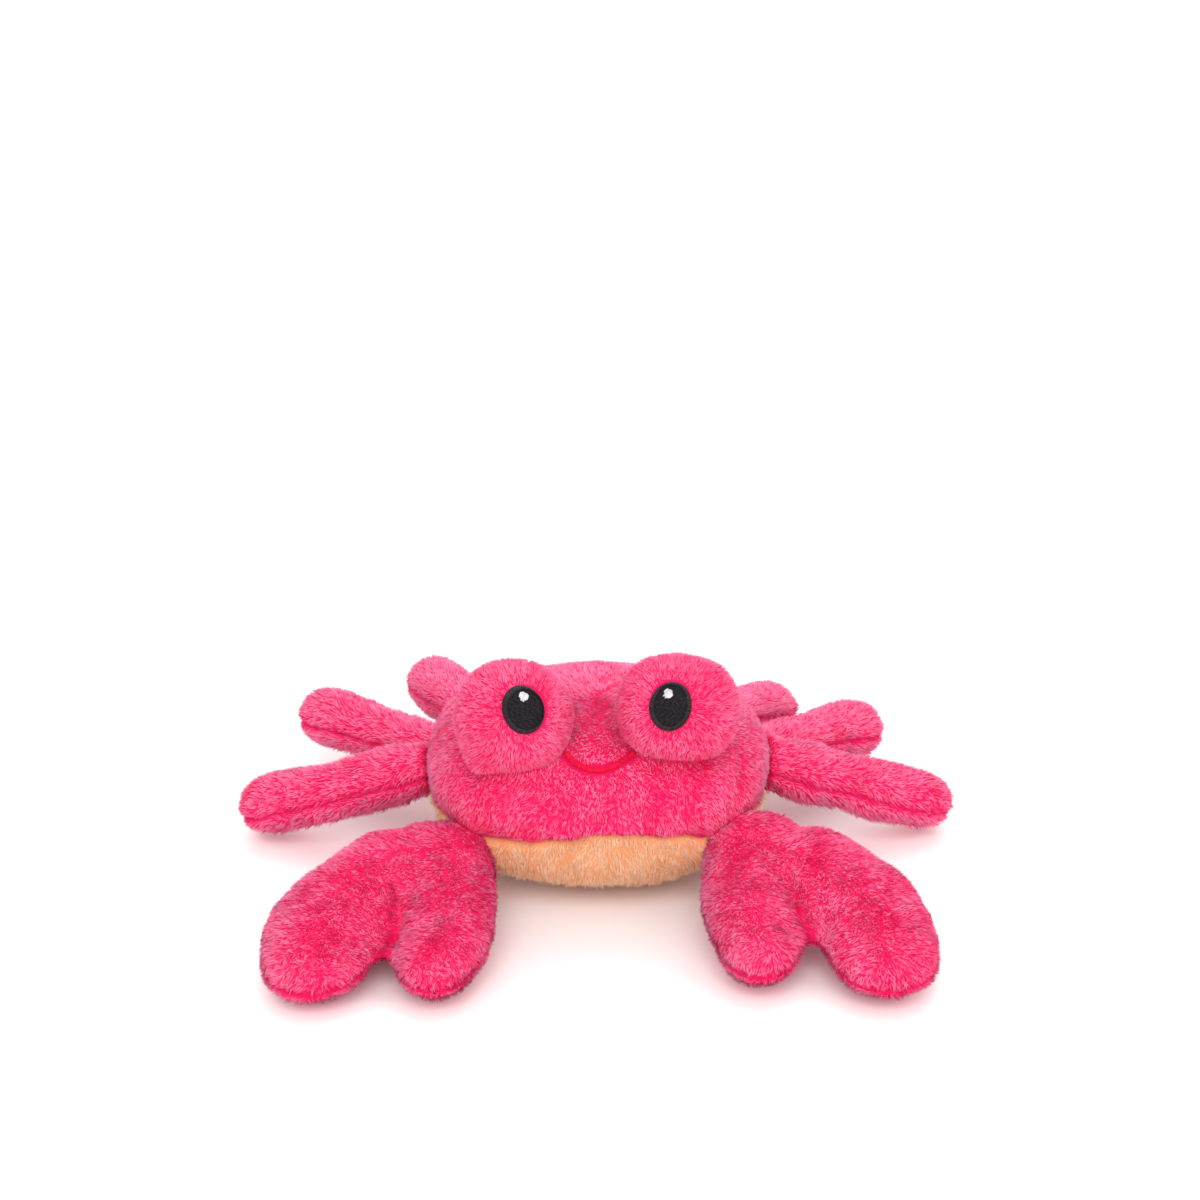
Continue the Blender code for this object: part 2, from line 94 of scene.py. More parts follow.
# Each tuft is a thin closed spike, a few fibres together. Several lean together as a lock
TUFTS_PER_MM2 = 7.0
TUFT_FACES = 4
TUFT_LENGTHS = (0.75, 1.2)
TUFT_RADII = (0.8, 1.25)
TUFT_SINK = 0.25
TUFT_LEANS = (10, 75)
LOCK_SIZE = 7
LOCK_PULLS = (0.15, 0.5)

# No tuft grows where a point this far out from the skin is inside another piece
HIDDEN_DEPTH = 0.9 * MM
# Skin that faces down more steeply than this bears only this share of its tufts
UNDERSIDE = -0.75
UNDERSIDE_SHARE = 0.25

# Round an eye the pile is shorter and stands up: from its edge outwards, as a share of the eye's size
EYE_EDGE = 0.97
EYE_MARGIN = 0.3
EYE_DEPTH = 4 * MM
# Along the smile the pile is parted: how wide that is bare, and how far it is brushed away
SMILE_BARE = 0.95 * MM
SMILE_MARGIN = 2.2 * MM

# The pile between the mounds is painted a lighter pink, a painted light against the mounds' shade: the middle
# of that spot and how far it reaches
BROW = np.array([0.0, -24.0, 42.0]) * MM
BROW_REACH = 13.0 * MM

# How far the sewing holds the skin in: from a seam, a limb's root, an eye and a mound's foot. The flat
# of the belly is held by the weight on it
SEAM_HOLD = 1.4 * MM
ROOT_HOLD = 8.0 * MM
EYE_HOLD = 6.0 * MM
FOOT_HOLD = 4.0 * MM
FLAT_HOLD = 2.5 * MM

# Stitches: half the width, half the height and the rise of each, and the thread it is made of
STITCHES = {
    "eye_filling": (0.2 * MM, 0.16 * MM, 0.05 * MM, "black_thread"),
    "eye_border": (0.2 * MM, 0.22 * MM, 0.34 * MM, "black_thread"),
    "eye_shine": (0.19 * MM, 0.2 * MM, 0.14 * MM, "white_thread"),
    "smile": (0.2 * MM, 0.24 * MM, 0.3 * MM, "red_thread"),
}
FILLING_PITCH = 0.34 * MM
FILLING_LENGTH = 1.3 * MM
FILLING_SHORTEST = 0.4 * MM
FILLING_INSET = 0.8 * MM
BORDER_STITCHES = 104
BORDER_WIDTHS = (1.15, 1.3)
SHINE_RADIUS = 1.16 * MM
SMILE_PITCH = 0.3 * MM
SMILE_HALF_WIDTH = 0.7 * MM
SMILE_LIFT = 0.35 * MM
SMILE_SLANT = 0.12

# Seam between shell and belly, as the part has it
SEAM_HEIGHT = 22.0 * MM
SEAM_LIFT = 3.4 * MM
SEAM_DIP = 3.0 * MM
SEAM_LIFT_HALF_WIDTH = 19.0 * MM
SEAM_LIFT_OFFSET = 4.0 * MM
BODY_HALF_FRONT = 41.0 * MM

# Pieces press against each other where they are sewn together: from how near, and by how much
PRESS_REACH = 2.6 * MM
PRESS_DEPTH = 1.5 * MM

# The shell's pile is brushed outwards from this spot on its top
CROWN = np.array([0.0, 3.0, 44.0]) * MM

# The seams are drawn in a little, and the filling is a little lumpy
SEAM_GROOVE = {"limb": 1.0 * MM, "body": 0.2 * MM}
SEAM_GROOVE_HALF_WIDTH = 1.1 * MM
LUMP_HEIGHT = 0.35 * MM

# Each limb's middle line from the body to its tip, as the part has it, in millimetres
LIMB_LINES = {
    "leg_front_left": [((-47.0, 2.5, 21.7), (-90.3, 11.7, 6.0))],
    "leg_middle_left": [((-43.8, 21.4, 20.0), (-76.2, 57.4, 12.9))],
    "leg_rear_left": [((-31.3, 36.0, 21.0), (-46.5, 81.2, 12.0))],
    "leg_front_right": [((46.9, 4.9, 21.7), (89.5, 15.1, 5.9))],
    "leg_middle_right": [((43.8, 21.4, 20.0), (72.0, 55.5, 9.6))],
    "leg_rear_right": [((31.3, 36.0, 21.0), (48.9, 73.4, 5.9))],
    "claw_left": [
        ((-27.9, -26.0, 14.8), (-61.8, -33.9, 13.5), (-65.8, -54.1, 10.4), (-65.8, -81.3, 6.2)),
        ((-33.6, -26.0, 14.8), (-32.9, -47.5, 11.4), (-34.4, -63.2, 9.0), (-40.4, -79.8, 6.4)),
    ],
    "claw_right": [
        ((28.5, -24.8, 17.0), (62.4, -32.6, 15.4), (66.4, -52.6, 11.4), (66.4, -79.6, 6.0)),
        ((34.2, -24.8, 17.0), (33.5, -44.8, 13.0), (35.0, -59.1, 10.1), (41.0, -74.2, 7.0)),
    ],
}

# How far each claw slopes down towards its tips, in degrees
CLAW_SLOPES = {"claw_left": 8.78, "claw_right": 11.36}

# Folds of the fabric: points along each, then how deep it is there, all in millimetres
FOLD_HALF_WIDTH = 1.7 * MM
FOLDS = {
    "shell": [
        (
            (34.8, -11.9, 38.4, 0.0), (34.6, -19.0, 37.0, 1.0),
            (35.0, -26.0, 33.0, 1.5), (34.0, -30.0, 27.0, 0.0),
        ),
        ((-29.0, -24.0, 37.4, 0.6), (-31.0, -28.0, 34.5, 1.6), (-33.5, -29.0, 31.0, 0.0)),
    ],
    "claw_left": [
        (
            (-46.6, -61.0, 11.0, 1.6), (-46.0, -52.5, 14.0, 1.8),
            (-46.7, -45.6, 17.1, 1.0), (-48.6, -40.0, 19.5, 0.0),
        ),
    ],
    "claw_right": [
        (
            (49.5, -61.0, 11.4, 1.6), (46.9, -53.2, 13.6, 1.8),
            (45.1, -46.1, 16.6, 1.0), (44.3, -40.0, 19.0, 0.0),
        ),
    ],
}

# Where the sewing pulls a form out of round: the spot, how far round it, and the pull, in millimetres
PULLS = {
    "eye_mound_left": [((-27.5, -30.0, 37.5), 7.5, (-3.2, 0.6, -3.2))],
    "eye_mound_right": [((27.0, -28.0, 39.0), 7.5, (1.2, 1.2, -1.4))],
    "shell": [
        ((-33.0, -30.0, 20.5), 9.0, (0.0, -0.8, -2.0)),
        ((33.0, -30.0, 20.5), 9.0, (0.0, -0.8, -2.0)),
        ((0.0, -18.0, 43.0), 20.0, (0.0, -1.0, 1.8)),
        ((-43.0, -13.0, 22.5), 9.0, (0.0, 0.0, -1.6)),
        ((43.0, -13.0, 22.5), 9.0, (0.0, 0.0, -1.6)),
    ],
    "claw_left": [
        ((-32.0, -31.0, 19.0), 12.0, (1.5, 2.0, 3.0)),
        ((-39.0, -26.0, 16.0), 9.0, (-4.2, 1.5, 1.6)),
        ((-52.0, -31.0, 16.0), 13.0, (0.0, 2.5, 3.0)),
    ],
    "claw_right": [
        ((32.0, -30.0, 21.0), 11.0, (-1.5, 2.0, 3.0)),
        ((39.0, -25.0, 18.0), 9.0, (4.2, 1.5, 1.0)),
        ((54.0, -30.0, 18.0), 12.0, (0.0, 2.5, 1.6)),
    ],
}

# The root of a leg narrows and is tucked into the body: over this length, by this share and this far
TUCK_LENGTH = 5.5 * MM
TUCK_SHARE = 0.1
TUCK_DEPTH = 1.6 * MM

STUFFED = ["shell", "belly_panel", "eye_mound_left", "eye_mound_right", *LIMB_LINES]

# The solids' surfaces, each kept once it has been made
TREES = {}

LEVEL = np.array([1.0, 1.0, 0.0])
DOWN = np.array([0.0, 0.0, -1.0])


# Camera, light and floor

def make_camera():
    data = bpy.data.cameras.new("camera")
    data.lens = CAMERA_LENS
    data.sensor_width = 36.0
    camera = bpy.data.objects.new("camera", data)
    bpy.context.scene.collection.objects.link(camera)
    camera.location = CAMERA_PLACE
    camera.rotation_euler = (math.radians(CAMERA_TILT), 0.0, 0.0)
    bpy.context.scene.camera = camera


def make_light():
    """A world that is white where it is seen and softer where it lights, and the lamps."""
    world = bpy.data.worlds.new("studio")
    bpy.context.scene.world = world
    world.use_nodes = True
    nodes, links = world.node_tree.nodes, world.node_tree.links
    nodes.clear()
    output = nodes.new("ShaderNodeOutputWorld")
    mix = nodes.new("ShaderNodeMixShader")
    for place, strength in ((1, ROOM_LIGHT), (2, 1.0)):
        ground = nodes.new("ShaderNodeBackground")
        ground.inputs["Color"].default_value = (1.0, 1.0, 1.0, 1.0)
        ground.inputs["Strength"].default_value = strength
        links.new(ground.outputs[0], mix.inputs[place])
    path = nodes.new("ShaderNodeLightPath")
    seen = nodes.new("ShaderNodeMath")
    seen.operation = "MAXIMUM"
    through = nodes.new("ShaderNodeMath")
    through.operation = "MAXIMUM"
    links.new(path.outputs["Is Camera Ray"], seen.inputs[0])
    links.new(path.outputs["Is Glossy Ray"], seen.inputs[1])
    links.new(seen.outputs[0], through.inputs[0])
    links.new(path.outputs["Is Transmission Ray"], through.inputs[1])
    links.new(through.outputs[0], mix.inputs["Fac"])
    links.new(mix.outputs[0], output.inputs["Surface"])
    for name, turn, strength, angle in LAMPS:
        data = bpy.data.lights.new(name, "SUN")
        data.energy = strength
        data.angle = math.radians(angle)
        lamp = bpy.data.objects.new(name, data)
        lamp.rotation_euler = [math.radians(value) for value in turn]
        bpy.context.scene.collection.objects.link(lamp)


def make_floor():
    bpy.ops.object.select_all(action="DESELECT")
    bpy.ops.mesh.primitive_plane_add(size=8.0, location=(0.0, 0.0, 0.0))
    floor = bpy.context.active_object
    floor.name = "floor"
    material = bpy.data.materials.new("pale floor")
    material.use_nodes = True
    shader = material.node_tree.nodes["Principled BSDF"]
    shader.inputs["Base Color"].default_value = (0.96, 0.96, 0.95, 1.0)
    shader.inputs["Roughness"].default_value = 0.9
    shader.inputs["Specular IOR Level"].default_value = 0.0
    floor.data.materials.append(material)


# Helpers on meshes

def pick_only(obj):
    bpy.ops.object.select_all(action="DESELECT")
    obj.select_set(True)
    bpy.context.view_layer.objects.active = obj


def apply_modifiers(obj):
    pick_only(obj)
    for modifier in list(obj.modifiers):
        bpy.ops.object.modifier_apply(modifier=modifier.name)


def points_of(mesh):
    points = np.empty(len(mesh.vertices) * 3, np.float32)
    mesh.vertices.foreach_get("co", points)
    return points.reshape(-1, 3).astype(float)


def normals_of(mesh):
    normals = np.empty(len(mesh.vertices) * 3, np.float32)
    mesh.vertices.foreach_get("normal", normals)
    return normals.reshape(-1, 3).astype(float)


def put_points(mesh, points):
    mesh.vertices.foreach_set("co", points.astype(np.float32).ravel())
    mesh.update()


def unit(vectors):
    return vectors / np.maximum(np.linalg.norm(vectors, axis=1, keepdims=True), 1e-12)


def along_surface(vectors, normals):
    """The part of each vector that lies in the surface."""
    vectors = np.broadcast_to(vectors, normals.shape)
    return unit(vectors - normals * (vectors * normals).sum(1, keepdims=True))


def ripple(points, size, seed, waves=10):
    """A smooth irregular field of vectors, each part from about -1 to 1, that changes over this size."""
    rng = np.random.default_rng(seed)
    field = np.zeros_like(points)
    for axis in range(3):
        for _ in range(waves):
            way = unit(rng.normal(size=(1, 3)))[0] * rng.uniform(0.6, 1.6) * 2 * math.pi / size
            field[:, axis] += np.sin(points @ way + rng.uniform(0, 2 * math.pi))
    return field / math.sqrt(waves / 2) / 1.6


# Seams

def seam_height(points):
    """How high the shell's seam to the belly is at each point."""
    across = (points[:, 0] - SEAM_LIFT_OFFSET) / SEAM_LIFT_HALF_WIDTH
    t = np.clip(-points[:, 1] / BODY_HALF_FRONT, 0.0, 1.0)
    forward = t * t * (3.0 - 2.0 * t)
    return SEAM_HEIGHT + forward * ((SEAM_LIFT + SEAM_DIP) * np.exp(-across * across) - SEAM_DIP)


def limb_curves(name):
    """The limb's middle lines as arrays of points, in metres."""
    curves = []
    for line in LIMB_LINES[name]:
        ends = [Vector(point) * MM for point in line]
        if len(ends) == 2:
            ends = [ends[0], ends[0].lerp(ends[1], 1 / 3), ends[0].lerp(ends[1], 2 / 3), ends[1]]
        curves.append(np.array(interpolate_bezier(*ends, 33)))
    return curves


def limb_plane(name):
    """A point and the normal of the plane in which the limb's two panels meet."""
    curve = limb_curves(name)[0]
    along = curve[-1] - curve[0]
    if "claw" in name:
        slope = math.radians(CLAW_SLOPES[name])
        across = np.array([1.0, 0.0, 0.0])
        along = np.array([0.0, -math.cos(slope), -math.sin(slope)])
    else:
        across = np.cross(along, (0.0, 0.0, 1.0))
    normal = np.cross(across, along)
    normal /= np.linalg.norm(normal)
    return curve[0], normal if normal[2] > 0 else -normal


def seam_gap(name, points):
    """How far each point is from its piece's seam, with a sign: above or below it."""
    if name in ("shell", "belly_panel"):
        return points[:, 2] - seam_height(points)
    if name in LIMB_LINES:
        spot, normal = limb_plane(name)
        return (points - spot) @ normal
    return np.full(len(points), 1.0)


def fold_depth(name, points):
    """How deep the fabric's folds are at each point."""
    depth = np.zeros(len(points))
    for fold in FOLDS.get(name, []):
        fold = np.array(fold) * MM
        places = np.linspace(0, len(fold) - 1, 12 * len(fold))
        line = np.stack([np.interp(places, np.arange(len(fold)), fold[:, k]) for k in range(4)], 1)
        gaps = np.linalg.norm(points[:, None] - line[None, :, :3], axis=2)
        near = gaps.argmin(1)
        depth = np.maximum(depth, line[near, 3] * np.exp(-((gaps.min(1) / FOLD_HALF_WIDTH) ** 2)))
    return depth


# The embroidered eyes and the smile, read from the solids that carry them

def eye_axes(side):
    """The eye's middle, and its axes: across, up its long side, and out of the mound."""
    points = points_of(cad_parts[f"eye_embroidery_{side}"].data)
    middle = points.mean(0)
    _, axes = np.linalg.eigh(np.cov((points - middle).T))
    out, up = axes[:, 0], axes[:, 2]
    out = out if out[1] < 0 else -out
    up = up if up[2] > 0 else -up
    across = np.cross(up, out)
    half = np.abs((points - middle) @ np.stack([across, up], 1)).max(0)
    return middle, across, up, out, half


def smile_line():
    """Points along the middle of the smile, from left to right."""
    points = points_of(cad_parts["mouth_stitch"].data)
    low, high = points[:, 0].min(), points[:, 0].max()
    across = (2 * points[:, 0] - low - high) / (high - low)
    places = np.linspace(-0.97, 0.97, 41)
    line = [(low + high + places * (high - low)) / 2]
    line += [np.polyval(np.polyfit(across, points[:, axis], 4), places) for axis in (1, 2)]
    return np.stack(line, 1)


# Skins

def row_for(table, name):
    """The table's row for a piece: the first whose name the piece's own name starts with."""
    return next(row for kind, row in table.items() if name.startswith(kind))


def side_of(node):
    return node.rsplit("_", 1)[1]


def merged_copy(node, name):
    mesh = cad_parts[node].data.copy()
    mesh.materials.clear()
    skin = bpy.data.objects.new(name, mesh)
    bpy.context.scene.collection.objects.link(skin)
    bm = bmesh.new()
    bm.from_mesh(mesh)
    bmesh.ops.remove_doubles(bm, verts=bm.verts, dist=2e-6)
    bm.to_mesh(mesh)
    bm.free()
    return skin


def puff(skin, sewn):
    """Stuffs the skin: it swells between the points that its seams hold."""
    scene = bpy.context.scene
    group = skin.vertex_groups.new(name="sewn")
    for index in np.flatnonzero(sewn > 0.01):
        group.add([int(index)], float(sewn[index]), "REPLACE")
    before = points_of(skin.data)
    cloth = skin.modifiers.new("Stuffing", "CLOTH")
    settings = cloth.settings
    settings.quality = 4
    settings.mass = 0.3
    settings.tension_stiffness = 10.0
    settings.compression_stiffness = 10.0
    settings.shear_stiffness = 5.0
    settings.bending_stiffness = 0.3
    settings.shrink_min = -0.01
    settings.use_pressure = True
    settings.uniform_pressure_force = 4.0
    settings.effector_weights.gravity = 0.0
    settings.vertex_group_mass = "sewn"
    cloth.point_cache.frame_start = 1
    cloth.point_cache.frame_end = PUFF_FRAMES
    for step in range(1, PUFF_FRAMES + 1):
        scene.frame_set(step)
    apply_modifiers(skin)
    move = points_of(skin.data) - before
    length = np.linalg.norm(move, axis=1, keepdims=True)
    most = PUFF_MOST * SIM_SCALE
    put_points(skin.data, before + move * np.minimum(1.0, most / np.maximum(length, 1e-9)))
    skin.vertex_groups.clear()
    scene.frame_set(1)


def held_by_seams(node, points):
    """How firmly the sewing holds each point, from 0 to 1."""
    held = np.clip(1.6 - np.abs(seam_gap(node, points)) / SEAM_HOLD, 0.0, 1.0)
    if node in LIMB_LINES:
        start = limb_curves(node)[0][0]
        reach = np.linalg.norm((points - start)[:, :2], axis=1)
        held = np.maximum(held, np.clip(1.5 - reach / ROOT_HOLD, 0.0, 1.0))
    elif node.startswith("eye_mound"):
        gap = np.linalg.norm(points - eye_axes(side_of(node))[0], axis=1)
        base = points[:, 2] - points[:, 2].min()
        held = np.maximum(np.clip(1.6 - gap / EYE_HOLD, 0.0, 1.0), np.clip(1.5 - base / FOOT_HOLD, 0.0, 1.0))
    if node == "belly_panel":
        held = np.maximum(held, np.clip(2.0 - points[:, 2] / FLAT_HOLD, 0.0, 1.0))
    return held


def nearness(node, points):
    """How near each point is to the other stuffed solids: 1 where they meet, 0 past the reach."""
    nearest = np.full(len(points), PRESS_REACH)
    for other in STUFFED:
        if other == node:
            continue
        low, high = (np.array(corner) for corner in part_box(other))
        close = np.flatnonzero(((points > low - PRESS_REACH) & (points < high + PRESS_REACH)).all(1))
        for index in close:
            _, _, _, gap = solid_tree(other).find_nearest(Vector(points[index]), PRESS_REACH)
            if gap is not None:
                nearest[index] = min(nearest[index], gap)
    return np.clip(1.3 * (1.0 - nearest / PRESS_REACH), 0.0, 1.0)


def solid_tree(node):
    """The surface of a solid, for looking up the nearest place on it. Made once for each."""
    if node not in TREES:
        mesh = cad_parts[node].data
        TREES[node] = BVHTree.FromPolygons([tuple(v.co) for v in mesh.vertices],
                                           [tuple(f.vertices) for f in mesh.polygons])
    return TREES[node]


def even_backing(node):
    """A piece's solid as one even mesh, at the size that the simulation works in."""
    skin = merged_copy(node, f"{node}_plush")
    put_points(skin.data, points_of(skin.data) * SIM_SCALE)
    remesh = skin.modifiers.new("Even mesh", "REMESH")
    remesh.mode = "VOXEL"
    remesh.voxel_size = row_for(KINDS, node).mesh * MM * SIM_SCALE
    even = skin.modifiers.new("Even out", "SMOOTH")
    even.factor = 0.5
    even.iterations = 5
    apply_modifiers(skin)
    return skin


def shape_backing(node, mesh):
    """Brings a puffed skin back to its real size, and gives it its seams, folds, lumps, tucks and pulls."""
    points = points_of(mesh) / SIM_SCALE
    normals = normals_of(mesh)
    groove = SEAM_GROOVE["limb" if node in LIMB_LINES else "body"]
    gap = seam_gap(node, points)
    inward = groove * np.exp(-((gap / SEAM_GROOVE_HALF_WIDTH) ** 2)) + fold_depth(node, points)
    lumps = ripple(points, 26.0 * MM, 5 + len(node))[:, 0] * LUMP_HEIGHT
    pressed = nearness(node, points)
    points += normals * (lumps + pressed * PRESS_DEPTH - inward * (1.0 - pressed))[:, None]
    if node.startswith("leg"):
        start, end = limb_curves(node)[0][[0, -1]]
        way = (end - start) / np.linalg.norm(end - start)
        along = (points - start) @ way
        tuck = (np.clip(1.0 - along / TUCK_LENGTH, 0.0, 1.0) ** 2)[:, None]
        axis_points = start + along[:, None] * way
        points += (axis_points - points) * TUCK_SHARE * tuck - way * TUCK_DEPTH * tuck
    for spot, around, pull in PULLS.get(node, []):
        reach = np.linalg.norm(points - np.array(spot) * MM, axis=1) / (around * MM)
        points += np.exp(-(reach**2) * 2)[:, None] * np.array(pull) * MM
    points[:, 2] = np.maximum(points[:, 2], BACKING_LOWEST)
    put_points(mesh, points)


def make_backing(node):
    """The fabric of one stuffed piece: its solid, drawn in by the depth of the pile and puffed up."""
    skin = even_backing(node)
    points = points_of(skin.data) / SIM_SCALE
    sewn = held_by_seams(node, points)
    room = 0.5 * PUFF_MOST
    depth = BACKING_DEPTH + room * (1.0 - sewn)
    put_points(skin.data, (points - normals_of(skin.data) * depth[:, None]) * SIM_SCALE)
    puff(skin, sewn)
    calm = skin.modifiers.new("Calm", "SMOOTH")
    calm.factor = 0.5
    calm.iterations = 3
    round_off = skin.modifiers.new("Soft form", "SUBSURF")
    round_off.levels = 1
    round_off.render_levels = 1
    apply_modifiers(skin)
    shape_backing(node, skin.data)
    skin.data.shade_smooth()
    return skin


# Pile

def nap(name, points, normals):
    """Which way the pile is brushed at each point, along the surface."""
    if name == "shell":
        way = (points - CROWN) * LEVEL * 40.0 + DOWN
    elif name == "belly_panel":
        way = points * LEVEL * 10.0 + DOWN
    elif name.startswith("eye_mound"):
        way = points - eye_axes(side_of(name))[0]
    else:
        along, outward, total = np.zeros_like(points), np.zeros_like(points), 0.0
        for curve in limb_curves(name):
            tangents = unit(np.gradient(curve, axis=0))
            gaps = np.linalg.norm(points[:, None] - curve[None, ::2], axis=2)
            nearest = gaps.argmin(1)
            weight = 1.0 / (gaps.min(1, keepdims=True) ** 3 + 1e-12)
            along += tangents[::2][nearest] * weight
            outward += (points - curve[::2][nearest]) * LEVEL * weight
            total = total + weight
        spread = 1.5 if "claw" in name else 0.5
        way = unit(along) + spread * outward / total / (10 * MM)
    return along_surface(way, normals)


def sample_skin(mesh, rng):
    """Points spread evenly over the mesh, one for each tuft, with their smooth normals."""
    mesh.calc_loop_triangles()
    corners = np.empty(len(mesh.loop_triangles) * 3, np.int32)
    mesh.loop_triangles.foreach_get("vertices", corners)
    corners = corners.reshape(-1, 3)
    points, normals = points_of(mesh), normals_of(mesh)
    a, b, c = (points[corners[:, k]] for k in range(3))
    area = np.linalg.norm(np.cross(b - a, c - a), axis=1) / 2
    count = int(area.sum() / MM**2 * TUFTS_PER_MM2)
    ends = np.cumsum(area)
    # one draw in each equal share of the area keeps the spread even
    draws = (np.arange(count) + rng.uniform(size=count)) / count * ends[-1]
    pick = np.minimum(np.searchsorted(ends, draws), len(area) - 1)
    u, v = rng.uniform(size=count), rng.uniform(size=count)
    flip = u + v > 1
    u[flip], v[flip] = 1 - u[flip], 1 - v[flip]
    w = 1 - u - v
    spots = a[pick] * w[:, None] + b[pick] * u[:, None] + c[pick] * v[:, None]
    ways = sum(normals[corners[pick, k]] * part[:, None] for k, part in enumerate((w, u, v)))
    return spots, unit(ways)


def inside(tree, points, low, high):
    """Which points lie inside a closed mesh."""
    found = np.zeros(len(points), bool)
    near = np.flatnonzero(((points > low) & (points < high)).all(1))
    for index in near:
        point = Vector(points[index])
        place, normal, _, _ = tree.find_nearest(point)
        found[index] = (point - place).dot(normal) < 0
    return found


def tuft_form():
    """One tuft, modelled once: a thin three sided spike, 1 long, its root at the origin."""
    bpy.ops.object.select_all(action="DESELECT")
    bpy.ops.mesh.primitive_cone_add(vertices=3, radius1=1.0, radius2=0.0, depth=1.0, location=(0, 0, 0.5))
    spike = bpy.context.active_object
    bpy.ops.object.transform_apply(location=True, rotation=True, scale=True)
    points = points_of(spike.data)
    faces = [list(face.vertices) for face in spike.data.polygons]
    bpy.data.objects.remove(spike)
    return points, faces


def plan_pile(node, mesh, trees, rng):
    """What the tufts of a piece start from, with a row for each tuft, and which of them grow."""
    kind = row_for(KINDS, node)
    spots, normals = sample_skin(mesh, rng)
    count = len(spots)
    grows = (normals[:, 2] > UNDERSIDE) | (rng.uniform(size=count) < UNDERSIDE_SHARE)
    for other, (tree, low, high) in trees.items():
        if other != node:
            grows &= ~inside(tree, spots + normals * HIDDEN_DEPTH, low, high)
    return SimpleNamespace(
        spots=spots,
        normals=normals,
        grows=grows,
        gap=seam_gap(node, spots),
        fold=fold_depth(node, spots),
        way=nap(node, spots, normals),
        length=kind.length * MM * rng.uniform(*TUFT_LENGTHS, count),
        lean=np.full(count, kind.lean),
        tone=np.full(count, kind.root),
        pale=np.zeros(count),
        close=np.zeros(count),
    )


def trim_round_eye(pile, side):
    """Round an eye the pile is shorter, stands up and is a little paler. None grows under the eye."""
    middle, across, up, out, half = eye_axes(side)
    flat = pile.spots - middle
    ring = np.hypot(flat @ across / half[0], flat @ up / half[1])
    front = flat @ out > -EYE_DEPTH
    pile.grows &= ~(front & (ring < EYE_EDGE))
    near = front * np.clip(1.0 + EYE_MARGIN - ring, 0.0, EYE_MARGIN) / EYE_MARGIN
    pile.length *= 1.0 - 0.4 * near
    pile.lean += 32.0 * near
    pile.pale = 0.15 * near


def part_along_smile(pile):
    """Along the smile the pile is shorter and paler, and is brushed away from the stitches."""
    line = smile_line()
    gaps = np.linalg.norm(pile.spots[:, None] - line[None], axis=2)
    reach = gaps.min(1)
    pile.grows &= reach > SMILE_BARE
    near = np.clip(1.0 - (reach - 1.0 * MM) / SMILE_MARGIN, 0.0, 1.0)
    pile.length *= 1.0 - 0.45 * near
    away = pile.spots - line[gaps.argmin(1)]
    pile.way = unit(pile.way * (1.0 - near[:, None]) + unit(away) * 1.4 * near[:, None])
    pile.pale = np.maximum(pile.pale, 0.34 * near)
    pile.close = near


def paint_light_on_pile(node, pile):
    """Painted light: the claws are paler on the sides that face left, and the shell on its brow, top and
    cheeks.
    """
    if "claw" in node:
        # Painted light on the claws' sides that face left
        pile.pale = 0.4 * np.clip(-pile.normals[:, 0], 0.0, 1.0)
    if node == "shell":
        # On the brow the pile is lighter down to its roots, a painted light against the mounds' shade
        brow = np.exp(-((np.linalg.norm(pile.spots - BROW, axis=1) / BROW_REACH) ** 2))
        # The top and the cheeks are paler, a painted sheen
        top = 0.3 * np.clip((pile.normals[:, 2] - 0.8) / 0.15, 0.0, 1.0)
        cheeks = 0.25 * np.abs(pile.normals[:, 0])
        pile.pale = np.maximum(pile.pale, np.maximum(0.45 * brow, top + cheeks))
        pile.tone += 0.35 * brow


def thin_out(pile, most, rng):
    """Keeps the tufts that grow, and no more than this many of them."""
    rows = np.flatnonzero(pile.grows)
    if len(rows) > most:
        rows = np.sort(rng.permutation(rows)[:most])
    for name, values in list(vars(pile).items()):
        setattr(pile, name, values[rows])


def tuft_tips(pile, rng):
    """Where each tuft's tip is, and the number of the lock that the tuft is in."""
    spots = pile.spots
    count = len(spots)
    # brushed patches, then each tuft's own way
    swirl = ripple(spots, 12.0 * MM, 31) * 0.4 + ripple(spots, 4.0 * MM, 32) * 0.36
    stray = swirl + rng.normal(size=(count, 3)) * 0.24
    way = along_surface(pile.way + stray * (1.0 - 0.8 * pile.close[:, None]), pile.normals)
    lean = np.radians(pile.lean + ripple(spots, 6.0 * MM, 33)[:, 0] * 9 + rng.normal(size=count) * 8)
    lean = np.clip(lean, *map(math.radians, TUFT_LEANS))[:, None]
    tips = spots + (way * np.cos(lean) + pile.normals * np.sin(lean)) * pile.length[:, None]
    # the tips of a lock are drawn towards the tip in its middle
    middles = rng.permutation(count)[: count // LOCK_SIZE]
    finder = kdtree.KDTree(len(middles))
    for number, index in enumerate(middles):
        finder.insert(spots[index], number)
    finder.balance()
    lock = np.array([finder.find(spot)[1] for spot in spots])
    pull = rng.uniform(*LOCK_PULLS, count)[:, None]
    tips = tips * (1 - pull) + tips[middles][lock] * pull
    tips[:, 2] = np.maximum(tips[:, 2], 0.02 * MM)
    return tips, lock


def stand_tufts(pile, tips, radius, points, rng):
    """The one modelled tuft, copied to each root and turned towards its tip."""
    count = len(tips)
    axis = unit(tips - pile.spots)
    reach = np.linalg.norm(tips - pile.spots, axis=1)
    side = unit(np.cross(axis, rng.normal(size=(count, 3))))
    other = np.cross(axis, side)
    radii = radius * rng.uniform(*TUFT_RADII, count)
    roots = pile.spots - pile.normals * TUFT_SINK * MM
    tufts = (roots[:, None]
             + side[:, None] * points[None, :, :1] * radii[:, None, None]
             + other[:, None] * points[None, :, 1:2] * radii[:, None, None]
             + axis[:, None] * points[None, :, 2:] * reach[:, None, None])
    tufts[..., 2] = np.maximum(tufts[..., 2], 0.0)
    return tufts


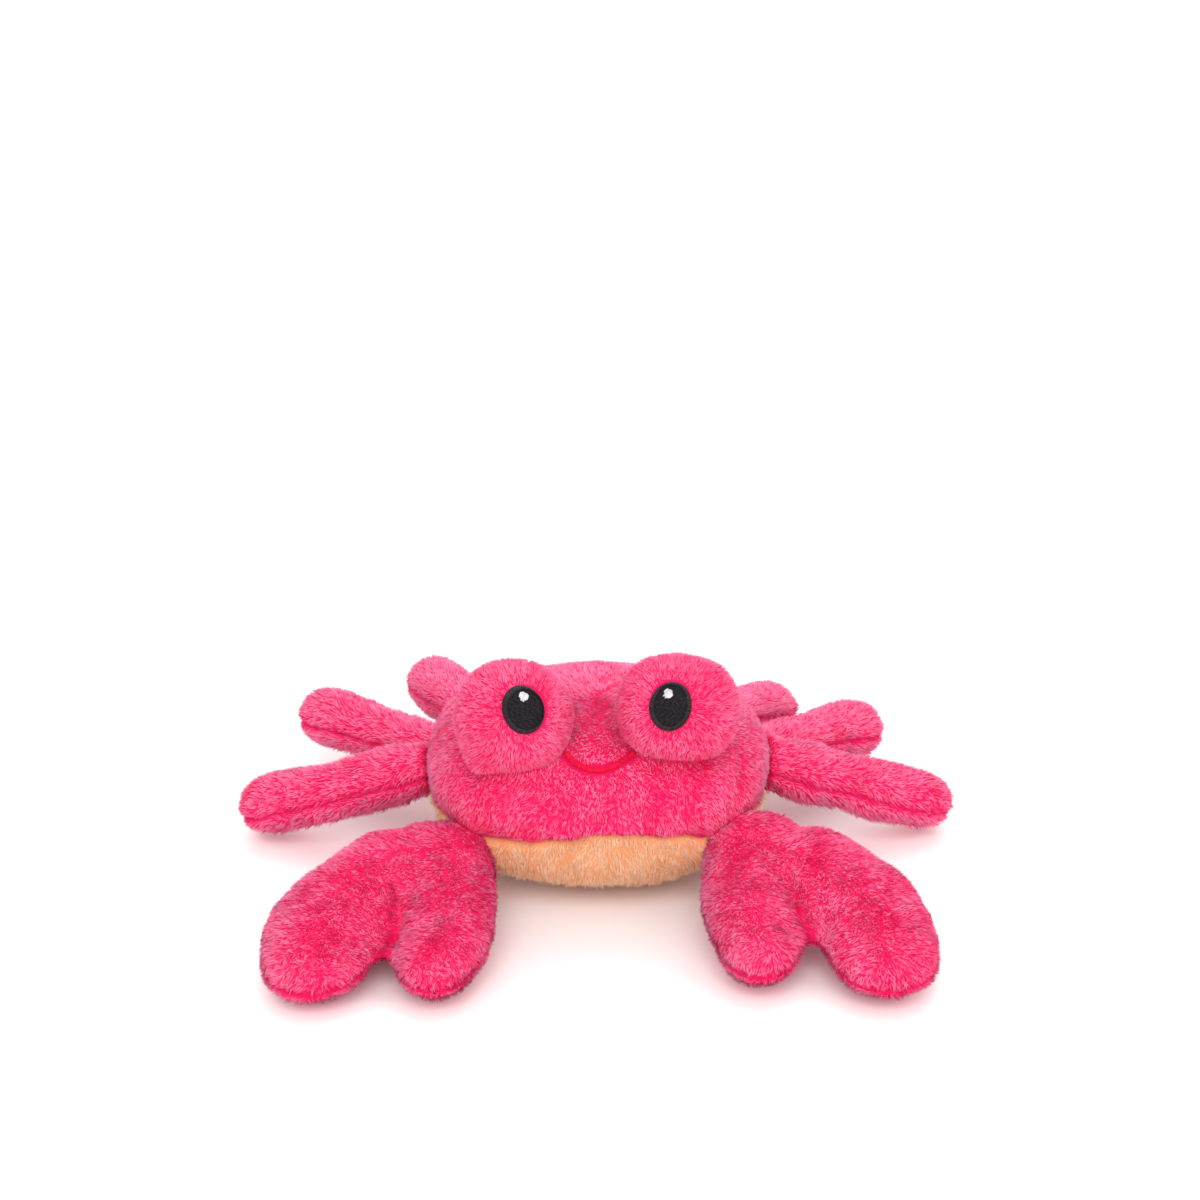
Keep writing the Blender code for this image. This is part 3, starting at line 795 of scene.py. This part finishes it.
def shade_tufts(node, pile, lock, rng):
    """How light each tuft is, and its tones at root and tip. In a seam or a fold it is dark to its tip, a
    painted shade.
    """
    count = len(pile.spots)
    patch = ripple(pile.spots, 14.0 * MM, 41)[:, 0] * 0.13
    lock_shade = rng.normal(size=count // LOCK_SIZE)[lock] * 0.16
    shade = row_for(KINDS, node).shade + pile.pale + patch + lock_shade + rng.normal(size=count) * 0.19
    # Painted shade along a seam, where its pile is parted
    seam_painted_shade = np.exp(-((pile.gap / (0.9 * MM)) ** 2))
    if node in LIMB_LINES:
        # Painted light: below a limb's seam the pile is paler, as if lit from the floor
        shade += 0.22 * np.clip(-pile.gap / (1.5 * MM), 0.0, 1.0)
    else:
        seam_painted_shade *= 0.25
    # Painted shade in the seams and in the folds' creases, down to the tufts' tips
    dark = np.clip(0.9 * seam_painted_shade + 0.45 * pile.fold / MM, 0.0, 1.0)
    tones = np.stack([pile.tone * (1.0 - dark), 0.96 - 0.82 * dark], 1)
    return np.clip(shade, 0.03, 0.95), tones


def grow_pile(skin, node, trees, form):
    """Covers the skin with tufts, and joins them to it as one mesh."""
    kind = row_for(KINDS, node)
    rng = np.random.default_rng(len(node) * 101 + sum(map(ord, node)))
    pile = plan_pile(node, skin.data, trees, rng)
    if node.startswith("eye_mound"):
        trim_round_eye(pile, side_of(node))
    if node == "shell" or node.startswith("eye_mound"):
        part_along_smile(pile)
    paint_light_on_pile(node, pile)
    thin_out(pile, (kind.faces - 2 * len(skin.data.polygons)) // TUFT_FACES, rng)
    tips, lock = tuft_tips(pile, rng)
    tufts = stand_tufts(pile, tips, kind.radius * MM, form[0], rng)
    shade, tones = shade_tufts(node, pile, lock, rng)
    join_tufts(skin, tufts, form, shade, tones, pile.normals)


def join_tufts(skin, tufts, form, shade, tones, normals):
    """Adds the tufts to the skin's mesh. Its map holds shade across and tone, from root to tip, upwards."""
    mesh = skin.data
    form_points, faces = form
    base_normals = normals_of(mesh)
    middle = tufts.mean(1, keepdims=True)
    own = unit((tufts - middle).reshape(-1, 3)).reshape(tufts.shape)
    tuft_normals = normals[:, None] + 0.45 * own
    all_normals = unit(np.concatenate([base_normals, tuft_normals.reshape(-1, 3)]))
    base_points = points_of(mesh)
    sizes = np.empty(len(mesh.polygons), np.int32)
    mesh.polygons.foreach_get("loop_total", sizes)
    corners = np.empty(len(mesh.loops), np.int32)
    mesh.loops.foreach_get("vertex_index", corners)

    per = tufts.shape[1]
    face_sizes = np.array([len(face) for face in faces], np.int32)
    face_corners = np.concatenate([np.array(face, np.int32) for face in faces])
    starts = len(base_points) + per * np.arange(len(tufts), dtype=np.int32)
    tuft_corners = (starts[:, None] + face_corners[None]).ravel()
    all_points = np.concatenate([base_points, tufts.reshape(-1, 3)])
    all_corners = np.concatenate([corners, tuft_corners])
    all_sizes = np.concatenate([sizes, np.tile(face_sizes, len(tufts))])

    name = skin.name
    made = bpy.data.meshes.new(name)
    made.vertices.add(len(all_points))
    made.vertices.foreach_set("co", all_points.astype(np.float32).ravel())
    made.loops.add(len(all_corners))
    made.loops.foreach_set("vertex_index", all_corners)
    made.polygons.add(len(all_sizes))
    face_starts = np.concatenate([[0], np.cumsum(all_sizes)[:-1]])
    made.polygons.foreach_set("loop_start", face_starts.astype(np.int32))
    made.polygons.foreach_set("loop_total", all_sizes)

    layer = made.uv_layers.new(name="OFBake")
    skin_shade = 0.4 + 0.08 * ripple(base_points, 14.0 * MM, 41)[:, 0]
    skin_map = np.stack([skin_shade[corners] + 0.02 * np.sin(np.arange(len(corners)) * 2.1),
                         0.1 + 0.02 * np.cos(np.arange(len(corners)) * 2.1)], 1)
    height = form_points[:, 2]
    turn = np.arange(per) * 2.1
    tuft_map = np.empty((len(tufts), per, 2))
    tuft_map[..., 0] = shade[:, None] + 0.02 * np.sin(turn)[None]
    tuft_map[..., 1] = tones[:, :1] + (tones[:, 1:] - tones[:, :1]) * height[None]
    whole_map = np.concatenate([skin_map, tuft_map[:, face_corners].reshape(-1, 2)])
    layer.data.foreach_set("uv", whole_map.astype(np.float32).ravel())
    made.update(calc_edges=True)
    made.shade_smooth()
    made.normals_split_custom_set_from_vertices(all_normals.astype(np.float32))
    old = skin.data
    skin.data = made
    bpy.data.meshes.remove(old)


# Embroidery

def stitch_form():
    """One stitch of thread, modelled once along X: a slim bean, 2 long and 2 across."""
    bpy.ops.object.select_all(action="DESELECT")
    lying = (0.0, math.pi / 2, 0.0)
    bpy.ops.mesh.primitive_uv_sphere_add(segments=8, ring_count=8, radius=1.0, rotation=lying)
    bean = bpy.context.active_object
    bpy.ops.object.transform_apply(location=True, rotation=True, scale=True)
    points = points_of(bean.data)
    # sorted, because the operator lists a sphere's faces in another order from run to run
    faces = sorted(list(face.vertices) for face in bean.data.polygons)
    bpy.data.objects.remove(bean)
    # blunter ends than a ball has
    round_end = np.sqrt(np.maximum(1.0 - points[:, 0] ** 2, 1e-9))
    blunt_end = (1.0 - np.abs(points[:, 0]) ** 3.2) ** 0.5
    points[:, 1:] *= np.where(round_end > 0.01, blunt_end / round_end, 1.0)[:, None]
    return points, faces


def lay_stitches(name, rows, form, material):
    """Lays a stitch from each row's start to its end, arched a little along its normal."""
    points, faces = form
    half_width, half_height, arch, slot = row_for(STITCHES, name)
    starts, ends, normals = (np.array(values, float) for values in zip(*rows))
    along = (ends - starts) / 2
    side = unit(np.cross(normals, along))
    lift = half_height * points[:, 2] + arch * (1.0 - points[:, 0] ** 2)
    laid = ((starts + ends)[:, None] / 2
            + along[:, None] * points[None, :, :1]
            + side[:, None] * (half_width * points[:, 1])[None, :, None]
            + normals[:, None] * lift[None, :, None])
    per = len(points)
    mesh = bpy.data.meshes.new(name)
    mesh.from_pydata(laid.reshape(-1, 3).tolist(), [],
                     [[corner + per * k for corner in face] for k in range(len(laid)) for face in faces])
    # each stitch carries its own shade, and the twist of its strands along it
    rng = np.random.default_rng(len(name) + len(laid))
    shade = rng.uniform(0.2, 0.8, len(laid))
    layer = mesh.uv_layers.new(name="OFBake")
    corners = np.array([corner for face in faces for corner in face])
    turn = np.arctan2(points[:, 1], points[:, 2]) / math.pi
    flat = np.empty((len(laid), len(corners), 2), np.float32)
    flat[..., 0] = shade[:, None] + 0.12 * turn[corners][None]
    flat[..., 1] = (0.5 + 0.45 * points[corners, 0])[None]
    layer.data.foreach_set("uv", flat.ravel())
    mesh.shade_smooth()
    mesh.materials.append(material)
    piece = bpy.data.objects.new(name, mesh)
    bpy.context.scene.collection.objects.link(piece)
    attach(piece, "root")
    return piece


class Patch:
    """The top of an embroidered eye, as a place to lay stitches: across and up from its middle."""

    def __init__(self, side):
        self.middle, self.across, self.up, self.out, self.half = eye_axes(side)
        self.tree = solid_tree(f"eye_embroidery_{side}")

    def point(self, a, b, lift):
        """The place on the eye at a across and b up, raised by lift."""
        start = Vector(self.middle + self.across * a + self.up * b + self.out * 4 * MM)
        place = self.tree.ray_cast(start, Vector(-self.out))[0]
        if place is None:
            place = self.tree.find_nearest(start - Vector(self.out) * 3.6 * MM)[0]
        return np.array(place) + self.out * lift

    def row(self, first, last, first_lift, last_lift):
        return self.point(*first, first_lift), self.point(*last, last_lift), self.out


def filling_rows(patch, rng):
    """Lines of running stitches across the eye, inside its border."""
    wide, high = patch.half
    rows = []
    lines = int((high - 1.0 * MM) / FILLING_PITCH)
    for k in range(-lines, lines + 1):
        b = k * FILLING_PITCH
        share = 1.0 - (b / (high - FILLING_INSET)) ** 2
        reach = (wide - FILLING_INSET) * math.sqrt(max(0.0, share))
        a = -reach - rng.uniform(0.0, 1.0) * FILLING_LENGTH
        while a < reach:
            left, right = max(a, -reach), min(a + FILLING_LENGTH, reach)
            if right - left > FILLING_SHORTEST:
                tilt = rng.uniform(-0.07, 0.07) * MM
                rows.append(patch.row((left, b + tilt), (right, b - tilt), 0.02 * MM, 0.02 * MM))
            a += FILLING_LENGTH
    return rows


def border_rows(patch, rng):
    """Satin stitches side by side round the eye, each one across its border."""
    wide, high = patch.half
    rows = []
    for k in range(BORDER_STITCHES):
        angle = 2 * math.pi * k / BORDER_STITCHES
        edge = np.array([wide * math.cos(angle), high * math.sin(angle)])
        way = unit(np.array([[math.cos(angle) / wide, math.sin(angle) / high]]))[0]
        slant = np.array([-way[1], way[0]]) * 0.1 * MM
        outer = edge + way * rng.uniform(-0.02, 0.1) * MM
        inner = edge - way * rng.uniform(*BORDER_WIDTHS) * MM + slant
        rows.append(patch.row(inner, outer, 0.1 * MM, -0.05 * MM))
    return rows


def shine_rows(patch, side, rng):
    """A few slanting stitches that make the round highlight."""
    low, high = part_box(f"eye_highlight_{side}")
    spot = np.array((low + high) / 2)
    way = unit(np.array([[-0.62, -0.78]]))[0]
    aside = np.array([-way[1], way[0]])
    middle = np.array([(spot - patch.middle) @ patch.across, (spot - patch.middle) @ patch.up])
    rows = []
    for k in range(-3, 4):
        off = k * 0.31 * MM
        half = math.sqrt(max(SHINE_RADIUS**2 - off**2, 0.0))
        first = middle + aside * off - way * half * rng.uniform(0.8, 1.0)
        last = middle + aside * off + way * half * rng.uniform(0.8, 1.35)
        rows.append(patch.row(first, last, 0.3 * MM, 0.3 * MM))
    return rows


def stitch_eye(side, form, black, satin, white):
    """Rows of filling stitches, a satin border round them, and the highlight on top."""
    patch = Patch(side)
    rng = np.random.default_rng(7 if side == "left" else 8)
    lay_stitches(f"eye_filling_{side}", filling_rows(patch, rng), form, black)
    lay_stitches(f"eye_border_{side}", border_rows(patch, rng), form, satin)
    light = lay_stitches(f"eye_shine_{side}", shine_rows(patch, side, rng), form, white)
    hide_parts(f"eye_highlight_{side}")


def stitch_smile(form, red, shell_tree):
    """A band of satin stitches laid across the smile's line."""
    line = smile_line()
    steps = np.linalg.norm(np.diff(line, axis=0), axis=1)
    run = np.concatenate([[0.0], np.cumsum(steps)])
    places = np.arange(-SMILE_PITCH, run[-1] + SMILE_PITCH, SMILE_PITCH)
    dots = np.stack([np.interp(places, run, line[:, k]) for k in range(3)], 1)
    # past the ends of the line the dots go straight on
    before, past = np.minimum(places, 0.0), np.maximum(places - run[-1], 0.0)
    dots += before[:, None] * unit(line[1:2] - line[:1]) + past[:, None] * unit(line[-1:] - line[-2:-1])
    rng = np.random.default_rng(9)
    rows = []
    for dot, way in zip(dots, unit(np.gradient(dots, axis=0))):
        place, normal = shell_tree.find_nearest(Vector(dot))[:2]
        normal = np.array(normal)
        side = np.cross(normal, way)
        side /= np.linalg.norm(side)
        half = SMILE_HALF_WIDTH * rng.uniform(0.92, 1.1)
        base = np.array(place) + normal * (BACKING_DEPTH + SMILE_LIFT)
        slant = way * SMILE_SLANT * MM
        rows.append((base - side * half + slant, base + side * half - slant, normal))
    band = lay_stitches("smile_stitches", rows, form, red)
    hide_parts("mouth_stitch")


# Materials

def srgb(red, green, blue):
    """A colour as it is seen, from 0 to 255, as the shader's own value."""
    parts = [((v / 255 + 0.055) / 1.055) ** 2.4 if v > 10 else v / 255 / 12.92 for v in (red, green, blue)]
    return (*parts, 1.0)


def plush_material(name, deep, light, sheen):
    """Pile deep at its roots and pale at its tips, partly its own colour and partly painted shade in the
    pile's depth and a painted sheen at the tips, with darkest and palest locks in these colours.
    """
    material = bpy.data.materials.new(name)
    material.use_nodes = True
    nodes, links = material.node_tree.nodes, material.node_tree.links
    shader = nodes["Principled BSDF"]
    shader.inputs["Roughness"].default_value = 0.85
    shader.inputs["Specular IOR Level"].default_value = 0.03
    shader.inputs["Sheen Weight"].default_value = 0.08
    shader.inputs["Sheen Roughness"].default_value = 0.4
    shader.inputs["Sheen Tint"].default_value = sheen
    place = nodes.new("ShaderNodeUVMap")
    place.uv_map = "OFBake"
    parts = nodes.new("ShaderNodeSeparateXYZ")
    links.new(place.outputs["UV"], parts.inputs[0])
    ramps = []
    for colours in (deep, light):
        ramp = nodes.new("ShaderNodeValToRGB")
        ramp.color_ramp.elements[0].position = 0.0
        ramp.color_ramp.elements[0].color = srgb(*colours[0])
        ramp.color_ramp.elements[1].position = 0.78
        ramp.color_ramp.elements[1].color = srgb(*colours[-1])
        middle = ramp.color_ramp.elements.new(0.17)
        middle.color = srgb(*colours[1])
        links.new(parts.outputs["Y"], ramp.inputs["Fac"])
        ramps.append(ramp)
    mix = nodes.new("ShaderNodeMix")
    mix.data_type = "RGBA"
    links.new(parts.outputs["X"], mix.inputs["Factor"])
    links.new(ramps[0].outputs["Color"], mix.inputs["A"])
    links.new(ramps[1].outputs["Color"], mix.inputs["B"])
    links.new(mix.outputs["Result"], shader.inputs["Base Color"])
    return material


def thread_material(name, dark, light, roughness, shine):
    """Twisted thread: each stitch has its own shade, with a fine slanting twist along it."""
    material = bpy.data.materials.new(name)
    material.use_nodes = True
    nodes, links = material.node_tree.nodes, material.node_tree.links
    shader = nodes["Principled BSDF"]
    shader.inputs["Roughness"].default_value = roughness
    shader.inputs["Specular IOR Level"].default_value = shine
    place = nodes.new("ShaderNodeUVMap")
    place.uv_map = "OFBake"
    wave = nodes.new("ShaderNodeTexWave")
    wave.wave_type = "BANDS"
    wave.bands_direction = "DIAGONAL"
    wave.inputs["Scale"].default_value = 3.0
    wave.inputs["Distortion"].default_value = 0.4
    links.new(place.outputs["UV"], wave.inputs["Vector"])
    parts = nodes.new("ShaderNodeSeparateXYZ")
    links.new(place.outputs["UV"], parts.inputs[0])
    both = nodes.new("ShaderNodeMath")
    both.operation = "MULTIPLY_ADD"
    links.new(wave.outputs["Fac"], both.inputs[0])
    both.inputs[1].default_value = 0.2
    links.new(parts.outputs["X"], both.inputs[2])
    ramp = nodes.new("ShaderNodeValToRGB")
    ramp.color_ramp.elements[0].color = srgb(*dark)
    ramp.color_ramp.elements[0].position = 0.1
    ramp.color_ramp.elements[1].color = srgb(*light)
    ramp.color_ramp.elements[1].position = 0.95
    links.new(both.outputs[0], ramp.inputs["Fac"])
    links.new(ramp.outputs["Color"], shader.inputs["Base Color"])
    bump = nodes.new("ShaderNodeBump")
    bump.inputs["Strength"].default_value = 0.15
    bump.inputs["Distance"].default_value = 0.05 * MM
    links.new(wave.outputs["Fac"], bump.inputs["Height"])
    links.new(bump.outputs["Normal"], shader.inputs["Normal"])
    return material


def ground_material(name, colour):
    """The dense ground under the stitches, with its rows of thread as a fine bump."""
    material = bpy.data.materials.new(name)
    material.use_nodes = True
    nodes, links = material.node_tree.nodes, material.node_tree.links
    shader = nodes["Principled BSDF"]
    shader.inputs["Base Color"].default_value = srgb(*colour)
    shader.inputs["Roughness"].default_value = 0.7
    place = nodes.new("ShaderNodeTexCoord")
    wave = nodes.new("ShaderNodeTexWave")
    wave.bands_direction = "Z"
    wave.inputs["Scale"].default_value = 0.5 / (0.4 * MM)
    links.new(place.outputs["Object"], wave.inputs["Vector"])
    bump = nodes.new("ShaderNodeBump")
    bump.inputs["Distance"].default_value = 0.1 * MM
    links.new(wave.outputs["Fac"], bump.inputs["Height"])
    links.new(bump.outputs["Normal"], shader.inputs["Normal"])
    return material


def main():
    make_camera()
    make_light()
    make_floor()
    # Each plush's dark roots are partly painted shade in the pile, and its pale tips partly a painted sheen
    pink = plush_material(
        "pink plush",
        ((146, 0, 36), (244, 0, 82), (255, 36, 108)),
        ((190, 0, 60), (255, 60, 130), (255, 156, 194)),
        (1.0, 0.45, 0.62, 1.0),
    )
    peach = plush_material(
        "peach plush",
        ((190, 98, 54), (228, 146, 96), (244, 186, 142)),
        ((234, 158, 112), (248, 196, 152), (254, 228, 202)),
        (1.0, 0.85, 0.7, 1.0),
    )
    skins = {node: make_backing(node) for node in STUFFED}
    trees = {}
    for node, skin in skins.items():
        points = points_of(skin.data)
        faces = [tuple(face.vertices) for face in skin.data.polygons]
        tree = BVHTree.FromPolygons([tuple(point) for point in points], faces)
        trees[node] = (tree, points.min(0), points.max(0))
    form = tuft_form()
    for node, skin in skins.items():
        grow_pile(skin, node, trees, form)
        peachy = node == "belly_panel"
        skin.data.materials.append(peach if peachy else pink)
        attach(skin, "root")
        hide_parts(node)
    form = stitch_form()
    black = thread_material("black thread", (2, 1, 2), (30, 24, 30), 0.5, 0.22)
    # The border's black thread is lighter than the filling's, a painted sheen on its satin stitches
    satin = thread_material("black satin thread", (3, 2, 3), (50, 43, 50), 0.5, 0.22)
    white = thread_material("white thread", (176, 170, 180), (222, 217, 222), 0.5, 0.4)
    red = thread_material("red thread", (178, 0, 40), (230, 2, 64), 0.7, 0.2)
    ground = ground_material("black ground", (12, 8, 12))
    for side in ("left", "right"):
        stitch_eye(side, form, black, satin, white)
        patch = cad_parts[f"eye_embroidery_{side}"]
        patch.data.materials.clear()
        patch.data.materials.append(ground)
    stitch_smile(form, red, trees["shell"][0])


main()
bpy.context.scene.view_settings.view_transform = "Standard"
